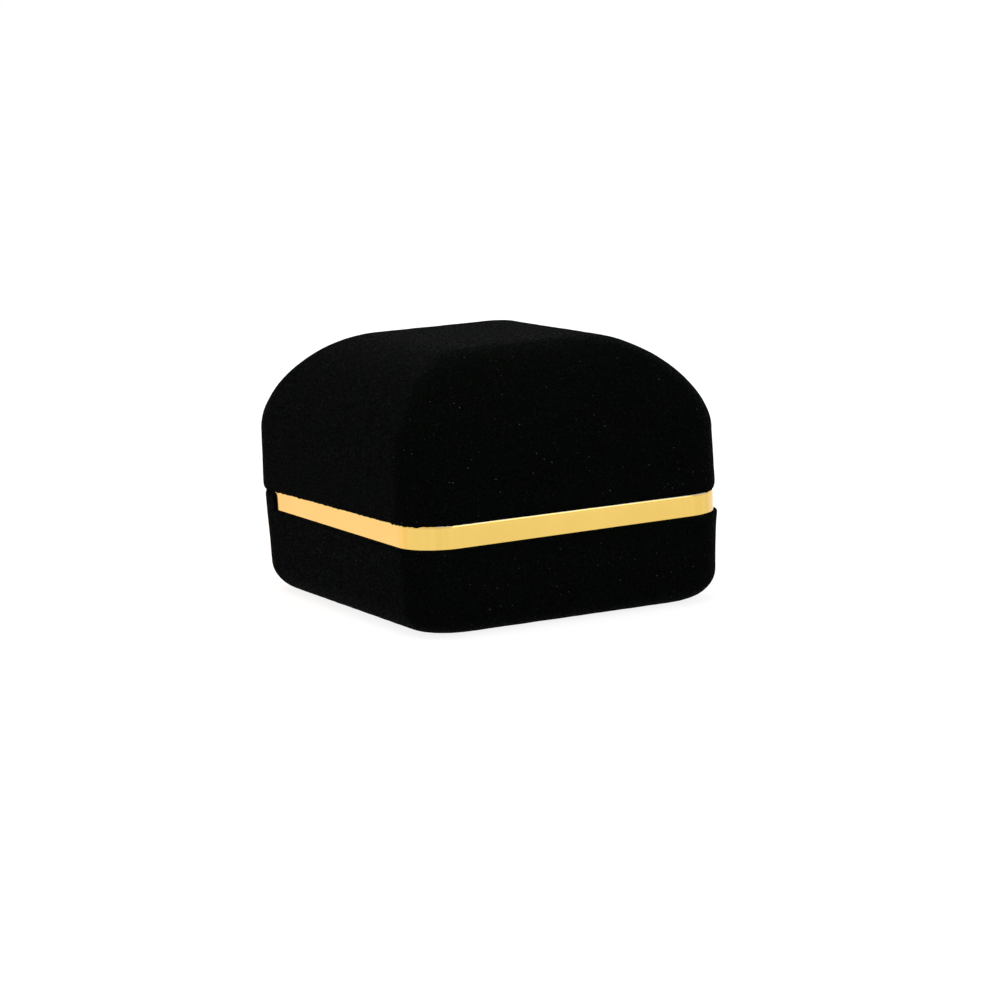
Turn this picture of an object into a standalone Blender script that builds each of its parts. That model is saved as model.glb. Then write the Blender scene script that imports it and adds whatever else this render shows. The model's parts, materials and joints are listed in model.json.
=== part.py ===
"""Ring box: a flocked clamshell case with a metallised trim band, a snap hinge and soft pads.

Metres, +Z up. X runs across the front, -Y is the front and +Y the hinge side. The origin is on the
floor, under the middle of the whole outline with the hinge barrel. The case is drawn shut, then the
lid and all that it carries turn about the hinge pin by the small angle at which it rests.
"""
import math

import bmesh
import bpy
from mathutils import Euler, Matrix, Vector

MM = 0.001

# Case: plan sizes at the base's rim, heights from the floor
WIDTH = 50.8 * MM
DEPTH = 57.15 * MM
CORNER_R = 6.8 * MM
WALL = 1.6 * MM
GAP = 0.3 * MM              # between pieces that touch

BASE_RIM_Z = 12.95 * MM
BASE_EDGE_R = 4.2 * MM      # round along the floor
BASE_DRAFT = 0.043
RETURN_Y = 19.8 * MM        # the base's wall stands up to the lid behind this, from the middle

BAND_INSET = 0.35 * MM      # the band's face, behind the base's face
BAND_TOP_Z = 15.85 * MM     # the ledge that the lid shuts on
BAND_GAP = 0.12 * MM
TONGUE_INSET = 2.0 * MM     # the lip that locates the lid
TONGUE_WALL = 0.8 * MM
TONGUE_TOP_Z = 17.35 * MM
SKIRT_BOTTOM_Z = 9.0 * MM

LID_RIM_Z = 15.5 * MM
LID_HEIGHT = 22.9 * MM
LID_OVERHANG = 0.15 * MM
LID_SET_BACK = 0.36 * MM
LID_DRAFT = 0.017
LID_STRAIGHT = 8.64 * MM    # height of the lid's straight sides
LID_SPREAD = 14.3 * MM      # how far the curved sides run in, from the straight side to the flat top
LID_CURVE = 1.715           # exponent of that curve: 1 is a straight chamfer, 2 an ellipse
LID_TOP_CORNER_R = 2.3 * MM
LID_LIP = 0.35 * MM         # thin outer lip that hangs beside the band's ledge
LID_LIP_DROP = 0.5 * MM
LID_REST_DEG = 0.7          # the lid rests this far from flat

# Hinge, about its pin
PIN_R = 0.5 * MM
KNUCKLE_BORE_R = 0.6 * MM
SHEET = 0.35 * MM
KNUCKLE_R = KNUCKLE_BORE_R + SHEET
HINGE_BEHIND = 0.55 * MM    # the pin's axis, behind the base's back face
LEAF_HALF = 13.0 * MM
LID_KNUCKLE_HALF = 4.9 * MM
KNUCKLE_GAP = 0.2 * MM
NOTCH_HALF = 14.0 * MM
BASE_NOTCH = 1.9 * MM
LID_NOTCH = 1.3 * MM
LEAF_REACH = 8.2 * MM       # how far each leaf runs along its wall, from the axis
RIVET_AT = 5.0 * MM         # rivets, above or below the axis
RIVET_X = 9.5 * MM
RIVET_R = 0.6 * MM
RIVET_HEAD_R = 1.2 * MM
RIVET_HEAD = 0.4 * MM
RIVET_LENGTH = 1.6 * MM
SPRING_SHEET = 0.25 * MM
SPRING_HALF = 3.5 * MM

# Soft parts
BOARD = 1.0 * MM
VELVET = 0.5 * MM
PAD_HALF_X = 22.2 * MM
PAD_FRONT = -25.4 * MM      # from the middle of the case
PAD_BACK = 24.6 * MM
PAD_TOP_Z = 12.5 * MM
PAD_EDGE_R = 2.6 * MM
SLIT = 0.7 * MM
SATIN = 0.4 * MM
LID_CARD_Z = 18.2 * MM      # from here on, heights above the lid's rim
LID_CARD_HALF = (16.2 * MM, 19.4 * MM)
LID_PAD_BULGE = 2.2 * MM
LID_PAD_BOTTOM_Z = 13.2 * MM
LINING_BOTTOM_Z = 2.6 * MM
LINING_TOP_Z = 12.4 * MM
LINING = 0.5 * MM

CORNER_STEPS = 7
ROUND_STEPS = 5
TURNED_SIDES = 24

# The pin stands out behind the case, so the middle of the case is that much before the origin
CENTRE_Y = -(HINGE_BEHIND + KNUCKLE_R) / 2
AXIS = Vector((0, CENTRE_Y + DEPTH / 2 + HINGE_BEHIND, LID_RIM_Z - GAP / 2))
BACK_WALL_TOP_Z = LID_RIM_Z - GAP


def clear_scene():
    for obj in list(bpy.data.objects):
        bpy.data.objects.remove(obj, do_unlink=True)


def finish(name, colour, roughness, metallic=0.0):
    """A plain Principled finish, made once for each name."""
    material = bpy.data.materials.get(name)
    if material is None:
        material = bpy.data.materials.new(name)
        material.use_nodes = True
        shader = material.node_tree.nodes["Principled BSDF"]
        shader.inputs["Base Color"].default_value = (*colour, 1)
        shader.inputs["Roughness"].default_value = roughness
        shader.inputs["Metallic"].default_value = metallic
        material.diffuse_color = (*colour, 1)
    return material


def black_flock():
    return finish("black_flock", (0.006, 0.006, 0.006), 0.95)


def gold_plastic():
    return finish("gold_metallised_plastic", (0.87, 0.62, 0.2), 0.2, 1.0)


def brassed_steel():
    return finish("brass_plated_steel", (0.75, 0.55, 0.25), 0.3, 1.0)


def spring_steel():
    return finish("spring_steel", (0.42, 0.43, 0.45), 0.35, 1.0)


def grey_board():
    return finish("grey_board", (0.3, 0.29, 0.27), 0.9)


def white_foam():
    return finish("white_foam", (0.8, 0.79, 0.74), 1.0)


def black_velvet():
    return finish("black_velvet", (0.01, 0.01, 0.01), 1.0)


def ivory_satin():
    return finish("ivory_satin", (0.8, 0.76, 0.66), 0.4)


def add_object(name, bm, material):
    """Close off a bmesh as an object, smooth over its rounds and sharp at its edges."""
    bmesh.ops.recalc_face_normals(bm, faces=bm.faces)
    mesh = bpy.data.meshes.new(name)
    bm.to_mesh(mesh)
    bm.free()
    mesh.shade_smooth()
    mesh.set_sharp_from_angle(angle=math.radians(35))
    obj = bpy.data.objects.new(name, mesh)
    bpy.context.collection.objects.link(obj)
    if material:
        mesh.materials.append(material)
    return obj


def loft(name, rings, material, closed=False):
    """Skin from each ring of points to the next. The ends are capped, or joined where closed."""
    bm = bmesh.new()
    loops = [[bm.verts.new(point) for point in ring] for ring in rings]
    following = loops[1:] + loops[:1] if closed else loops[1:]
    for loop, after in zip(loops, following):
        for side in range(len(loop)):
            bm.faces.new((loop[side - 1], loop[side], after[side], after[side - 1]))
    if not closed:
        bm.faces.new(loops[0])
        bm.faces.new(loops[-1])
    return add_object(name, bm, material)


def rounded_rectangle(half_x, half_y, radius, z, centre_y=CENTRE_Y):
    """One level of a shell, anticlockwise seen from above."""
    points = []
    for quarter, (side_x, side_y) in enumerate(((1, 1), (-1, 1), (-1, -1), (1, -1))):
        for step in range(CORNER_STEPS + 1):
            angle = (quarter + step / CORNER_STEPS) * math.pi / 2
            x = side_x * (half_x - radius) + radius * math.cos(angle)
            y = side_y * (half_y - radius) + radius * math.sin(angle)
            points.append((x, centre_y + y, z))
    return points


def base_ring(inset, z):
    """The base's outline at the rim, drawn in by inset."""
    return rounded_rectangle(WIDTH / 2 - inset, DEPTH / 2 - inset, max(CORNER_R - inset, 1 * MM), z)


def lid_share(height, under):
    """How far round the lid's curved side a height is: 0 at the straight side, 1 at the flat top."""
    rise = (height - LID_STRAIGHT) / (LID_HEIGHT - under - LID_STRAIGHT)
    rise = min(max(rise, 0), 1)
    return 1 - (1 - rise ** LID_CURVE) ** (1 / LID_CURVE)


def lid_inset(height, under):
    """How far a surface that lies under the lid's outer face is drawn in at a height."""
    return under + LID_DRAFT * height + (LID_SPREAD - under) * lid_share(height, under)


def lid_ring(height, under=0.0, extra=0.0):
    """The lid's outline at a height above its rim, for the outer face or a surface under it."""
    round_off = (LID_TOP_CORNER_R - CORNER_R) * math.sqrt(lid_share(height, under))
    inset = lid_inset(height, under) + extra
    radius = max(CORNER_R + round_off - under, 0.8 * MM)
    half_x = WIDTH / 2 + LID_OVERHANG - inset
    half_y = DEPTH / 2 + LID_OVERHANG - inset
    return rounded_rectangle(half_x, half_y, radius, LID_RIM_Z + height, CENTRE_Y + LID_SET_BACK)


def lid_heights(under, steps=9):
    """Heights up the curved side, spaced evenly round the curve."""
    heights = []
    for step in range(steps + 1):
        angle = step / steps * math.pi / 2
        rise = math.sin(angle) ** (2 / LID_CURVE)
        heights.append(LID_STRAIGHT + (LID_HEIGHT - under - LID_STRAIGHT) * rise)
    return heights


def block(name, low, high):
    """A plain box between two corners, for cutters."""
    bm = bmesh.new()
    bmesh.ops.create_cube(bm, size=1)
    size = Vector(high) - Vector(low)
    middle = (Vector(high) + Vector(low)) / 2
    bmesh.ops.scale(bm, vec=size, verts=bm.verts)
    bmesh.ops.translate(bm, vec=middle, verts=bm.verts)
    return add_object(name, bm, None)


def turned(name, profile, centre, direction, material):
    """A round piece: (radius, distance) pairs along a direction from its centre."""
    aim = Vector(direction).to_track_quat("Z", "Y").to_matrix().to_4x4()
    place = Matrix.Translation(centre) @ aim
    rings = []
    for radius, distance in profile:
        ring = []
        for side in range(TURNED_SIDES):
            angle = side / TURNED_SIDES * 2 * math.pi
            ring.append(place @ Vector((radius * math.cos(angle), radius * math.sin(angle), distance)))
        rings.append(ring)
    return loft(name, rings, material)


def boolean(obj, tool, operation):
    """Cut or join with a tool object that is only a guide."""
    modifier = obj.modifiers.new(f"{operation.lower()}_{tool.name}", "BOOLEAN")
    modifier.operation = operation
    modifier.solver = "EXACT"
    modifier.object = tool
    tool.display_type = "WIRE"
    tool.hide_render = True


def hang(pieces, pivot):
    """Parent pieces to a pivot, with their own origins on it."""
    for piece in pieces:
        piece.data.transform(Matrix.Translation(-pivot.location))
        piece.parent = pivot


def inner_wall_y(z):
    """The inner face of the base's back wall at a height."""
    return CENTRE_Y + DEPTH / 2 - WALL + BASE_DRAFT * (z - BASE_RIM_Z)


def rivet_hole(name, x, z, wall_y):
    """A blind hole from the inside of a back wall."""
    profile = ((RIVET_R + 0.15 * MM, -2 * MM), (RIVET_R + 0.15 * MM, 1.05 * MM))
    return turned(name, profile, (x, wall_y, z), (0, 1, 0), None)


def make_base_shell():
    outer = []
    for step in range(ROUND_STEPS + 1):
        angle = step / ROUND_STEPS * math.pi / 2
        z = BASE_EDGE_R * (1 - math.cos(angle))
        inset = BASE_EDGE_R * (1 - math.sin(angle)) + BASE_DRAFT * (BASE_RIM_Z - z)
        outer.append(base_ring(inset, z))
    outer.append(base_ring(BASE_DRAFT * (BASE_RIM_Z - BACK_WALL_TOP_Z), BACK_WALL_TOP_Z))
    inner = [base_ring(WALL + BASE_DRAFT * (BASE_RIM_Z - BACK_WALL_TOP_Z), BACK_WALL_TOP_Z)]
    inner_r = BASE_EDGE_R - WALL
    for step in range(ROUND_STEPS, -1, -1):
        angle = step / ROUND_STEPS * math.pi / 2
        z = WALL + inner_r * (1 - math.cos(angle))
        inset = WALL + inner_r * (1 - math.sin(angle)) + BASE_DRAFT * (BASE_RIM_Z - z)
        inner.append(base_ring(inset, z))
    shell = loft("base_shell", outer + inner, black_flock())

    over = 5 * MM
    step_low = (-WIDTH, CENTRE_Y - DEPTH, BASE_RIM_Z)
    step_high = (WIDTH, CENTRE_Y + RETURN_Y, BACK_WALL_TOP_Z + over)
    boolean(shell, block("cut_for_band", step_low, step_high), "DIFFERENCE")
    notch_low = (-NOTCH_HALF, AXIS.y - HINGE_BEHIND - 2 * WALL, AXIS.z - BASE_NOTCH)
    notch_high = (NOTCH_HALF, AXIS.y + over, AXIS.z + over)
    boolean(shell, block("cut_for_knuckles", notch_low, notch_high), "DIFFERENCE")
    hole_z = AXIS.z - RIVET_AT
    for side, x in (("left", -RIVET_X), ("middle", 0), ("right", RIVET_X)):
        hole = rivet_hole(f"cut_rivet_{side}", x, hole_z, inner_wall_y(hole_z))
        boolean(shell, hole, "DIFFERENCE")
    return shell


def make_trim_band():
    """An L-section ring, cut to a U where the base's back wall stands up."""
    skirt = WALL + GAP
    under = BASE_RIM_Z + BAND_GAP
    back_of_tongue = TONGUE_INSET + TONGUE_WALL
    edge = 0.15 * MM
    section = (
        (BAND_INSET, under),
        (BAND_INSET, BAND_TOP_Z - edge),
        (BAND_INSET + edge, BAND_TOP_Z),
        (TONGUE_INSET, BAND_TOP_Z),
        (TONGUE_INSET, TONGUE_TOP_Z - 2 * edge),
        (TONGUE_INSET + 2 * edge, TONGUE_TOP_Z),
        (back_of_tongue - edge, TONGUE_TOP_Z),
        (back_of_tongue, TONGUE_TOP_Z - edge),
        (back_of_tongue, SKIRT_BOTTOM_Z),
        (skirt, SKIRT_BOTTOM_Z),
        (skirt, under),
    )
    band = loft("trim_band", [base_ring(*level) for level in section], gold_plastic(), closed=True)
    low = (-WIDTH, CENTRE_Y + RETURN_Y - GAP, 0)
    high = (WIDTH, CENTRE_Y + DEPTH, LID_HEIGHT)
    boolean(band, block("cut_behind_band", low, high), "DIFFERENCE")
    return band


def make_lid_shell():
    edge_height = 1.2 * MM
    edge_inset = LID_LIP - 0.05 * MM
    outer = [lid_ring(height) for height in reversed(lid_heights(0))]
    for share in (1, 0.6, 0.25, 0):
        outer.append(lid_ring(edge_height * share, extra=edge_inset * (1 - math.sqrt(1 - (1 - share) ** 2))))
    inner = [lid_ring(0, LID_LIP), lid_ring(LID_LIP_DROP, LID_LIP), lid_ring(LID_LIP_DROP, WALL)]
    inner += [lid_ring(height, WALL) for height in lid_heights(WALL)]
    shell = loft("lid_shell", outer + inner, black_flock())

    over = 5 * MM
    notch_low = (-NOTCH_HALF, AXIS.y - HINGE_BEHIND - 2 * WALL, AXIS.z - over)
    notch_high = (NOTCH_HALF, AXIS.y + over, AXIS.z + LID_NOTCH)
    tools = [block("cut_lid_for_knuckles", notch_low, notch_high)]
    hole_z = AXIS.z + RIVET_AT
    wall_y = CENTRE_Y + LID_SET_BACK + DEPTH / 2 + LID_OVERHANG - lid_inset(hole_z - LID_RIM_Z, WALL)
    for side, x in (("left", -RIVET_X), ("right", RIVET_X)):
        tools.append(rivet_hole(f"cut_lid_rivet_{side}", x, hole_z, wall_y))
    for tool in tools:
        boolean(shell, tool, "DIFFERENCE")
    return [shell] + tools


def arc(centre, radius, start_deg, end_deg, steps):
    """Points (y, z) on an arc. 0 degrees is +Y and 90 degrees is +Z."""
    points = []
    for step in range(steps + 1):
        angle = math.radians(start_deg + (end_deg - start_deg) * step / steps)
        points.append(Vector((centre[0] + radius * math.cos(angle), centre[1] + radius * math.sin(angle))))
    return points


def bent_strip(name, path, sheet, half_x, material):
    """Sheet metal of one thickness that follows a path of (y, z) points and is 2 half_x wide."""
    left = []
    right = []
    for index, point in enumerate(path):
        before = (point - path[max(index - 1, 0)]).normalized()
        after = (path[min(index + 1, len(path) - 1)] - point).normalized()
        along = (before + after).normalized()
        normal = Vector((-along.y, along.x))
        square = (before + after).length / 2 or 1
        offset = normal * sheet / 2 / (square if 0 < index < len(path) - 1 else 1)
        left.append(point + offset)
        right.append(point - offset)
    outline = left + right[::-1]
    rings = [[(x, point.x, point.y) for point in outline] for x in (-half_x, half_x)]
    return loft(name, rings, material)


def leaf_path(plate_y, reach):
    """A leaf below its pin: the end of the roll, round the pin, forward, and down along the wall."""
    centre = (AXIS.y, AXIS.z)
    mid_r = KNUCKLE_BORE_R + SHEET / 2
    bend_r = 0.6 * MM
    roll = arc(centre, mid_r, 215, -90, 21)
    bend_centre = (plate_y + bend_r, AXIS.z - mid_r - bend_r)
    bend = arc(bend_centre, bend_r, 90, 180, 4)
    return roll + bend + [Vector((plate_y, AXIS.z - reach))]


def plate_y_for(wall_y):
    """Middle of a leaf's plate that stands clear of the wall at wall_y."""
    return wall_y - GAP - SHEET / 2


def base_plate_y():
    return plate_y_for(inner_wall_y(AXIS.z - LEAF_REACH))


def lid_plate_y():
    inset = lid_inset(LEAF_REACH, WALL)
    return plate_y_for(CENTRE_Y + LID_SET_BACK + DEPTH / 2 + LID_OVERHANG - inset)


def leaf_hole(name, x, z, plate_y):
    """The hole in a leaf that a rivet passes through."""
    profile = ((RIVET_R + 0.1 * MM, -SHEET), (RIVET_R + 0.1 * MM, SHEET))
    return turned(name, profile, (x, plate_y, z), (0, 1, 0), None)


def make_hinge_leaf_base():
    plate_y = base_plate_y()
    leaf = bent_strip("hinge_leaf_base", leaf_path(plate_y, LEAF_REACH), SHEET, LEAF_HALF, brassed_steel())
    half = LID_KNUCKLE_HALF + KNUCKLE_GAP
    low = (-half, plate_y - 2 * SHEET, AXIS.z - BASE_NOTCH - GAP)
    high = (half, AXIS.y + 2 * KNUCKLE_R, AXIS.z + 2 * KNUCKLE_R)
    boolean(leaf, block("cut_for_lid_knuckle", low, high), "DIFFERENCE")
    for side, x in (("left", -RIVET_X), ("middle", 0), ("right", RIVET_X)):
        hole = leaf_hole(f"cut_leaf_{side}", x, AXIS.z - RIVET_AT, plate_y)
        boolean(leaf, hole, "DIFFERENCE")
    return leaf


def make_hinge_leaf_lid():
    """The base leaf's shape turned over: its path is mirrored in the height of the pin."""
    plate_y = lid_plate_y()
    path = [Vector((point.x, 2 * AXIS.z - point.y)) for point in leaf_path(plate_y, LEAF_REACH)]
    leaf = bent_strip("hinge_leaf_lid", path, SHEET, LEAF_HALF, brassed_steel())
    tools = []
    for side, sign in (("left", -1), ("right", 1)):
        ends = sorted((sign * LID_KNUCKLE_HALF, sign * (LEAF_HALF + GAP)))
        low = (ends[0], plate_y - 2 * SHEET, AXIS.z - 2 * KNUCKLE_R)
        high = (ends[1], AXIS.y + 2 * KNUCKLE_R, AXIS.z + LID_NOTCH + GAP)
        tools.append(block(f"cut_beside_knuckle_{side}", low, high))
        tools.append(leaf_hole(f"cut_lid_leaf_{side}", sign * RIVET_X, AXIS.z + RIVET_AT, plate_y))
    for tool in tools:
        boolean(leaf, tool, "DIFFERENCE")
    return [leaf] + tools


def make_hinge_pin():
    """Headed at both ends, so it cannot slide out."""
    inside = LEAF_HALF + 0.1 * MM
    end = inside + 0.35 * MM
    head_r = 0.85 * MM
    half = (
        (0.5 * head_r, end),
        (head_r, inside + 0.15 * MM),
        (head_r, inside),
        (PIN_R, inside),
    )
    profile = [(radius, -distance) for radius, distance in half]
    profile += [(radius, distance) for radius, distance in reversed(half)]
    return turned("hinge_pin", profile, AXIS, (1, 0, 0), brassed_steel())


def spring_y():
    """Middle of the spring's flat part, which lies on the base leaf."""
    return base_plate_y() - SHEET / 2 - 0.1 * MM - SPRING_SHEET / 2


def make_hinge_spring():
    """A strip on the base leaf that reaches back through the notch, under the lid's knuckle."""
    touch_z = AXIS.z - KNUCKLE_R - 0.12 * MM - SPRING_SHEET / 2
    bend_r = 0.5 * MM
    foot = Vector((spring_y(), AXIS.z - RIVET_AT - 1.8 * MM))
    bend_centre = (spring_y() + bend_r, touch_z - 0.2 * MM - bend_r)
    bend = arc(bend_centre, bend_r, 180, 90, 4)
    tip = [
        Vector((AXIS.y - 1.2 * MM, touch_z - 0.12 * MM)),
        Vector((AXIS.y - 0.3 * MM, touch_z)),
        Vector((AXIS.y + 0.3 * MM, touch_z - 0.05 * MM)),
    ]
    spring = bent_strip("hinge_spring", [foot] + bend + tip, SPRING_SHEET, SPRING_HALF, spring_steel())
    profile = ((RIVET_R + 0.1 * MM, -SHEET), (RIVET_R + 0.1 * MM, SHEET))
    hole = turned("cut_spring", profile, (0, spring_y(), AXIS.z - RIVET_AT), (0, 1, 0), None)
    boolean(spring, hole, "DIFFERENCE")
    return spring


def make_rivet(name, x, z, face_y):
    """A domed rivet whose head lies just off face_y and whose shank points back into the wall."""
    head_face = face_y - 0.08 * MM
    profile = (
        (0.45 * RIVET_HEAD_R, -RIVET_HEAD),
        (0.85 * RIVET_HEAD_R, -0.7 * RIVET_HEAD),
        (RIVET_HEAD_R, -0.25 * RIVET_HEAD),
        (RIVET_HEAD_R, 0),
        (RIVET_R, 0),
        (RIVET_R, RIVET_LENGTH),
    )
    return turned(name, profile, (x, head_face, z), (0, 1, 0), brassed_steel())


def make_rivets():
    """Three in the base's leaf, the middle one through the spring too, and two in the lid's."""
    low = AXIS.z - RIVET_AT
    base_face = base_plate_y() - SHEET / 2
    make_rivet("base_rivet_left", -RIVET_X, low, base_face)
    make_rivet("base_rivet_right", RIVET_X, low, base_face)
    make_rivet("spring_rivet", 0, low, spring_y() - SPRING_SHEET / 2)
    high = AXIS.z + RIVET_AT
    lid_face = lid_plate_y() - SHEET / 2
    return [
        make_rivet("lid_rivet_left", -RIVET_X, high, lid_face),
        make_rivet("lid_rivet_right", RIVET_X, high, lid_face),
    ]


def roll_block(name, front, back, bottom, top, draw_in, material):
    """One roll of the ring pad, rounded over its top edges, between two distances from the middle."""
    half_y = (back - front) / 2
    centre_y = CENTRE_Y + (front + back) / 2
    edge_r = PAD_EDGE_R - draw_in
    corner_r = 3.4 * MM - draw_in
    rings = [rounded_rectangle(PAD_HALF_X - draw_in, half_y, corner_r, bottom, centre_y)]
    for step in range(ROUND_STEPS + 1):
        angle = step / ROUND_STEPS * math.pi / 2
        inset = edge_r * (1 - math.cos(angle))
        z = top - edge_r * (1 - math.sin(angle))
        half_x = PAD_HALF_X - draw_in - inset
        rings.append(rounded_rectangle(half_x, half_y - inset, max(corner_r - inset, 0.6 * MM), z, centre_y))
    return loft(name, rings, material)


def make_ring_pad():
    """Board, two foam rolls, and one velvet that covers both and is tucked down between them."""
    floor = WALL + GAP
    board_half_y = (PAD_BACK - PAD_FRONT) / 2 - 1.2 * MM
    board_y = CENTRE_Y + (PAD_BACK + PAD_FRONT) / 2
    board_rings = [
        rounded_rectangle(PAD_HALF_X - 1.1 * MM, board_half_y, 3 * MM, z, board_y)
        for z in (floor, floor + BOARD)
    ]
    loft("pad_board", board_rings, grey_board())

    bottom = floor + BOARD + GAP
    middle = (PAD_FRONT + PAD_BACK) / 2
    front = (PAD_FRONT, middle - SLIT / 2)
    rear = (middle + SLIT / 2, PAD_BACK)
    velvet = roll_block("pad_velvet", *front, bottom, PAD_TOP_Z, 0, black_velvet())
    other = roll_block("join_rear_roll", *rear, bottom, PAD_TOP_Z, 0, None)
    boolean(velvet, other, "UNION")
    tuck_half = PAD_HALF_X - 3 * MM
    tuck_low = (-tuck_half, CENTRE_Y + front[1] - VELVET, bottom)
    tuck_high = (tuck_half, CENTRE_Y + rear[0] + VELVET, bottom + VELVET)
    boolean(velvet, block("join_tuck", tuck_low, tuck_high), "UNION")
    for name, (near, far) in (("pad_foam_front", front), ("pad_foam_rear", rear)):
        hollow = (near + VELVET, far - VELVET)
        cutter = roll_block(f"cut_{name}", *hollow, bottom - VELVET, PAD_TOP_Z - VELVET, VELVET, None)
        boolean(velvet, cutter, "DIFFERENCE")
        core = VELVET + GAP
        roll_block(name, near + core, far - core, bottom, PAD_TOP_Z - core, core, white_foam())


def puff_rings(draw_in, bottom_lift, top):
    """Levels of the lid's pad, from the crown below up to its edge against the card."""
    half_x, half_y = LID_CARD_HALF
    bottom = LID_PAD_BOTTOM_Z + bottom_lift
    rings = []
    for step in range(ROUND_STEPS + 1):
        angle = step / ROUND_STEPS * math.pi / 2
        grow = LID_PAD_BULGE * math.sin(angle) - 4 * MM * (1 - math.sin(angle)) - draw_in
        height = bottom + (LID_PAD_BULGE - draw_in) * (1 - math.cos(angle))
        rings.append((half_x + grow, half_y + grow, height))
    rings.append((half_x + 0.3 * MM - draw_in, half_y + 0.3 * MM - draw_in, top))
    centre = CENTRE_Y + LID_SET_BACK
    return [rounded_rectangle(x, y, 3.5 * MM, LID_RIM_Z + z, centre) for x, y, z in rings]


def make_lid_pad():
    half_x, half_y = LID_CARD_HALF
    centre = CENTRE_Y + LID_SET_BACK
    card_rings = [
        rounded_rectangle(half_x, half_y, 3 * MM, LID_RIM_Z + z, centre)
        for z in (LID_CARD_Z, LID_CARD_Z + BOARD)
    ]
    card = loft("lid_card", card_rings, grey_board())
    top = LID_CARD_Z - GAP
    outer = puff_rings(0, 0, top)
    inner = puff_rings(SATIN, SATIN, top)
    satin = loft("lid_satin", outer + inner[::-1], ivory_satin())
    core = SATIN + GAP
    foam = loft("lid_foam", puff_rings(core, core, top), white_foam())
    return [card, satin, foam]


def make_lid_lining():
    """A strip round the lid's inner wall, open at the back round the hinge leaf."""
    heights = [LINING_BOTTOM_Z, LID_STRAIGHT, (LID_STRAIGHT + LINING_TOP_Z) / 2, LINING_TOP_Z]
    outer = [lid_ring(height, WALL + GAP) for height in heights]
    inner = [lid_ring(height, WALL + GAP + LINING) for height in heights]
    lining = loft("lid_lining", outer + inner[::-1], ivory_satin(), closed=True)
    low = (-NOTCH_HALF, AXIS.y - 6 * MM, AXIS.z)
    high = (NOTCH_HALF, AXIS.y + 6 * MM, AXIS.z + LEAF_REACH + 2 * GAP)
    opening = block("cut_lining_for_leaf", low, high)
    boolean(lining, opening, "DIFFERENCE")
    return [lining, opening]


def make_case():
    clear_scene()
    make_base_shell()
    make_trim_band()
    make_hinge_leaf_base()
    make_hinge_pin()
    make_hinge_spring()
    make_ring_pad()
    lid_pieces = make_lid_shell() + make_hinge_leaf_lid() + make_rivets()
    lid_pieces += make_lid_pad() + make_lid_lining()

    lid_hinge = bpy.data.objects.new("lid_hinge_axis", None)
    lid_hinge.location = AXIS
    lid_hinge.rotation_euler = Euler((-math.radians(LID_REST_DEG), 0, 0))
    bpy.context.collection.objects.link(lid_hinge)
    hang(lid_pieces, lid_hinge)


make_case()
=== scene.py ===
"""Flocked ring box with a gold trim band, shut, on a white studio table.

The sections follow the box as it is put together: the base, its trim band, the hinge, the ring pad,
then the lid, its lining and its satin pad.
"""
import json
import math

import bpy
from mathutils import Matrix, Vector


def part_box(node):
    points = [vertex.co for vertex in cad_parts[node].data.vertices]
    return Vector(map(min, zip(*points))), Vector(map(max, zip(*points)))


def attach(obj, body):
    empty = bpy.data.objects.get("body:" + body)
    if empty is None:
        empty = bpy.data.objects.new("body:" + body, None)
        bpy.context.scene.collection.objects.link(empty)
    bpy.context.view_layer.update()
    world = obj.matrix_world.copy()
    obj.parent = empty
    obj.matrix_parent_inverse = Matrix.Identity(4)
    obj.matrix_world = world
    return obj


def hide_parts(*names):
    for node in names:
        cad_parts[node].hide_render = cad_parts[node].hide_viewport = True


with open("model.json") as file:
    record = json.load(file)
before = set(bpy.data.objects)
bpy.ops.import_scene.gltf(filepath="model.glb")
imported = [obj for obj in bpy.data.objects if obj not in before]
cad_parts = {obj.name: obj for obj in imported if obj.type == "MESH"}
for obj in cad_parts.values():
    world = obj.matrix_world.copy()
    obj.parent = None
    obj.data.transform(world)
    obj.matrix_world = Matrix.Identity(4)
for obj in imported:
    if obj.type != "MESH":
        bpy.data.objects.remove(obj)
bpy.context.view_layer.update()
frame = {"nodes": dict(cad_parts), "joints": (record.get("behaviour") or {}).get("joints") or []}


# ---- Studio -----------------------------------------------------------------------------------
# A pale lit table in an even white surround, with one wide soft box overhead and a smaller one low
# at the front right. A long lens stands in front and a little to the left, just above the lid.

MM = 0.001

base_low, base_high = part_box("base_shell")
case_y = (base_low.y + base_high.y) / 2
axis = Vector(frame["joints"][0]["pos_m"])

azimuth = math.radians(-26.72)
elevation = math.radians(8.97)
distance = 556.8 * MM
towards_eye = Vector((
    math.sin(azimuth) * math.cos(elevation),
    -math.cos(azimuth) * math.cos(elevation),
    math.sin(elevation),
))
eye_right = Vector((math.cos(azimuth), math.sin(azimuth), 0))
eye_up = eye_right.cross(-towards_eye)
subject = Vector((0, case_y, 17.78 * MM))
aim = subject + 1.98 * MM * eye_right - 3.9 * MM * eye_up

bpy.ops.object.camera_add(location=subject + distance * towards_eye)
camera = bpy.context.object
camera.name = "camera"
look = (aim - camera.location).to_track_quat("-Z", "Y").to_matrix()
camera.rotation_euler = (look @ Matrix.Rotation(math.radians(-2.494), 3, "Z")).to_euler()
camera.data.lens = 135.5
camera.data.sensor_width = 36
camera.data.clip_end = 20
bpy.context.scene.camera = camera
bpy.context.scene.view_settings.view_transform = "Standard"


def linear(code):
    """An sRGB hex colour such as "#f3d072" as linear RGBA."""
    channels = [int(code[i:i + 2], 16) / 255 for i in (1, 3, 5)]
    return (*[c / 12.92 if c <= 0.04045 else ((c + 0.055) / 1.055) ** 2.4 for c in channels], 1)


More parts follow.
